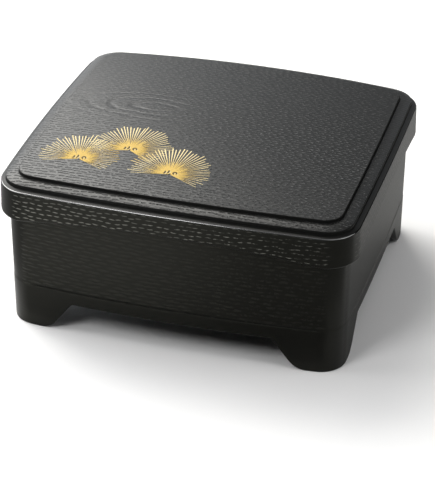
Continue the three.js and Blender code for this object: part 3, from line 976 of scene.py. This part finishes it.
# Dark cards on the floor, seen in the gloss alone, where the floor lies in shade: they paint its shade into
# the reflections in the walls. In millimetres: corners, where each fades in along X, and how dark it gets.
SHADE_CARDS = {
    "card_right": {
        "corners": (
            (-50, -420), (420, -420), (420, 0), (210, 0), (150, -50),
            (135, -95), (105, -120), (95, -95), (-50, -95),
        ),
        "fade": (-50, 50),
        "share": 0.62,
    },
    "card_left": {
        "corners": ((-400, -260), (-190, -260), (-120, -100), (-92, -60), (-92, 160), (-400, 160)),
        "fade": (-95, -135),
        "share": 0.6,
    },
    "card_front": {
        "corners": ((-110, -112), (85, -112), (85, -82), (-110, -82)),
        "fade": (-110, -95),
        "share": 0.45,
    },
}
CARD_LIFT = 1


def make_card(name, corners, fade, share):
    """A dark studio card on the floor, which shows in the gloss alone, as a painted reflection of the
    floor's shade.
    """
    mesh = bpy.data.meshes.new(name)
    points = [(x * MM, y * MM, CARD_LIFT * MM) for x, y in corners]
    mesh.from_pydata(points, [], [tuple(range(len(points)))])
    material = bpy.data.materials.new(name)
    graph = Graph(material)
    x = graph.split(graph.scaled(graph.add("ShaderNodeTexCoord").outputs["Object"], 1 / MM))[0]
    black = graph.add("ShaderNodeBsdfDiffuse", {"Color": BLACK})
    clear = graph.add("ShaderNodeBsdfTransparent")
    dark = graph.ramp(x, *fade, 0.0, share)
    both = graph.add("ShaderNodeMixShader", {0: dark, 1: clear.outputs[0], 2: black.outputs[0]})
    graph.add("ShaderNodeOutputMaterial", {"Surface": both.outputs[0]})
    mesh.materials.append(material)
    card = bpy.data.objects.new(name, mesh)
    card.visible_camera = card.visible_diffuse = card.visible_shadow = card.visible_transmission = False
    bpy.context.scene.collection.objects.link(card)


SWEEP_COLOUR = (0.93, 0.96, 1, 1)
KEY_COLOUR = (1, 0.98, 0.93)
WHITE = (1, 1, 1)
FRONT_GLOW = 0.6
SWEEP_BACK = (0.0, 0.35)
SWEEP_TOP = (0.9, 0.5)
SWEEP_LOW = (0.55, 0.35)
SWEEP_FAR_LEFT = (0.75, 1.1)
SWEEP_NEAR_LEFT = (-0.13, 0.26)
SWEEP_LEFT_X = (-0.6, -0.05)
SWEEP_MIDDLE_X = (-0.1, 0.1)
SWEEP_MIDDLE = 0.6
SWEEP_RIGHT_X = (0.27, 0.08)
GLOW_FRONT = (0.0, -0.35)
GLOW_TOP = (0.8, 0.5)


def make_world():
    """White to the camera, and else a white sweep in a dark studio. Gloss sees a glow in front too."""
    world = bpy.data.worlds.new("studio")
    bpy.context.scene.world = world
    graph = Graph(world)
    along = graph.split(graph.add("ShaderNodeTexCoord").outputs["Generated"])
    sweep = graph.math("MULTIPLY", graph.ramp(along[1], *SWEEP_BACK), graph.ramp(along[2], *SWEEP_TOP))
    low = graph.ramp(along[2], *SWEEP_LOW)
    far_left = graph.math("MULTIPLY_ADD", low, *SWEEP_FAR_LEFT)
    near_left = graph.math("MULTIPLY_ADD", low, *SWEEP_NEAR_LEFT)
    left = graph.ramp(along[0], *SWEEP_LEFT_X, far_left, near_left)
    sides = graph.math("ADD", left, graph.ramp(along[0], *SWEEP_MIDDLE_X, 0.0, SWEEP_MIDDLE))
    sides = graph.math("MULTIPLY", sides, graph.ramp(along[0], *SWEEP_RIGHT_X))
    sweep = graph.math("MULTIPLY", sweep, sides)
    seen = graph.add("ShaderNodeLightPath").outputs
    camera = seen["Is Camera Ray"]
    front = graph.ramp(along[1], *GLOW_FRONT, 0.0, FRONT_GLOW)
    front = graph.math("MULTIPLY", front, graph.ramp(along[2], *GLOW_TOP))
    strength = graph.math("MULTIPLY_ADD", front, seen["Is Glossy Ray"], sweep)
    strength = graph.math("MAXIMUM", strength, camera)
    colour = graph.mix(camera, SWEEP_COLOUR, (1, 1, 1, 1))
    sky = graph.add("ShaderNodeBackground", {"Color": colour, "Strength": strength})
    graph.add("ShaderNodeOutputWorld", {"Surface": sky.outputs[0]})


# Lamps: azimuth and elevation in degrees, distance and size in metres, power in watts and colour.
LAMPS = {
    "key": (46.5, 45, 1.2, (0.9, 0.9), 15, KEY_COLOUR),
    "left": (92, 42, 1.2, (0.9, 0.9), 9, WHITE),
    "front_left": (154, 45, 1.2, (0.4, 0.45), 5, WHITE),
    "overhead": (0, 85, 1.3, (1.2, 1.2), 3.2, WHITE),
    "right": (-90, 35, 1.3, (0.9, 0.8), 4, WHITE),
    "front_right": (240, 50, 1.4, (1.0, 0.8), 2, WHITE),
}


def area_light(name, azimuth, elevation, distance, size, power, colour):
    """A soft rectangular lamp that faces the box. Azimuth 0 is behind the box and 90 on its left."""
    lamp = bpy.data.lights.new(name, "AREA")
    lamp.shape = "RECTANGLE"
    lamp.size, lamp.size_y = size
    lamp.energy = power
    lamp.color = colour
    turn, lift = math.radians(azimuth), math.radians(elevation)
    towards = Vector((-math.sin(turn) * math.cos(lift), math.cos(turn) * math.cos(lift), math.sin(lift)))
    made = bpy.data.objects.new(name, lamp)
    target = Vector((0, 0, RIM_HEIGHT * MM))
    made.location = target + towards * distance
    made.rotation_euler = towards.to_track_quat("Z", "Y").to_euler()
    bpy.context.scene.collection.objects.link(made)


# Camera, from the photograph's perspective: degrees, millimetres and the frame's pixels.
CAMERA_AZIMUTH = 16.061
CAMERA_ELEVATION = 31.035
CAMERA_ROLL = 0.480
CAMERA_DISTANCE = 1035.41
CAMERA_AIM_RIGHT = 0.937
CAMERA_AIM_UP = -56.821
FOCAL_PIXELS = 2075.68
FRAME_HEIGHT = 495
SENSOR = 36
CLIP = (0.05, 50)


def make_camera():
    azimuth, elevation, roll = map(math.radians, (CAMERA_AZIMUTH, CAMERA_ELEVATION, CAMERA_ROLL))
    flat = math.cos(elevation)
    back = Vector((math.sin(azimuth) * flat, -math.cos(azimuth) * flat, math.sin(elevation)))
    level_right = Vector((math.cos(azimuth), math.sin(azimuth), 0))
    level_up = back.cross(level_right)
    right = math.cos(roll) * level_right + math.sin(roll) * level_up
    up = math.cos(roll) * level_up - math.sin(roll) * level_right
    aim = Vector((0, 0, RIM_HEIGHT)) + right * CAMERA_AIM_RIGHT + up * CAMERA_AIM_UP
    place = aim + back * CAMERA_DISTANCE
    data = bpy.data.cameras.new("camera")
    data.sensor_width = SENSOR
    data.lens = FOCAL_PIXELS * SENSOR / FRAME_HEIGHT
    data.clip_start, data.clip_end = CLIP
    camera = bpy.data.objects.new("camera", data)
    turned = Matrix((right, up, back)).transposed().to_4x4()
    camera.matrix_world = Matrix.Translation(place * MM) @ turned
    bpy.context.scene.collection.objects.link(camera)
    bpy.context.scene.camera = camera


def build():
    make_camera()
    make_world()
    for name, lamp in LAMPS.items():
        area_light(name, *lamp)
    make_floor()
    for name, card in SHADE_CARDS.items():
        make_card(name, **card)
    black_top = grained_top("black_lacquer_top")
    black_step = plain_lacquer("black_lacquer_step", STEP_IOR, STEP_ROUGHNESS)
    black_rim = plain_lacquer("black_lacquer_rim", WALL_IOR, RIM_ROUGHNESS)
    black_edge = plain_lacquer("black_lacquer_edge", EDGE_IOR, EDGE_ROUGHNESS)
    black_skirt = grained_wall("black_lacquer_skirt", *SKIRT_FINISH)
    black_tub = grained_wall("black_lacquer_tub", *TUB_FINISH)
    red = vermilion_lacquer("vermilion_lacquer")
    gold = gold_print("gold_print", GOLD_INNER, GOLD_OUTER)
    painted_glint_gold = gold_print("painted_highlight_gold", BUD_PAINTED_GLINT_GOLD, BUD_PAINTED_GLINT_GOLD)
    ink = gold_print("bud_ink", BUD_INK, BUD_INK)
    lid = make_lid(black_top, black_step, black_rim, black_edge, black_skirt, red)
    tub = make_tub(black_tub, red)
    tray = make_tray(red)
    for piece, node, body, slot in (
        (lid, "lid", "lid", "black_resin"),
        (tub, "tub", "tub", "black_resin"),
        (tray, "inner_tray", "tray", "vermilion_resin"),
    ):
        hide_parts(node)
        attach(piece, body)
    for name, fan in FANS.items():
        needles = make_fan(name, material=gold, **fan)
        hub = fan["hub"]
        dark = make_curls(name + "_bud_lines", hub, (0, 0), CURL_WIDTH, CURL_LIFT, ink)
        # Pale strokes beside the curls, which are painted highlights.
        pale = make_curls(name + "_bud_glints", hub, GLINT_OFFSET, GLINT_WIDTH, GLINT_LIFT, painted_glint_gold)
        for piece in (needles, dark, pale):
            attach(piece, "lid")


build()
bpy.context.scene.view_settings.view_transform = "Standard"
bpy.context.view_layer.update()
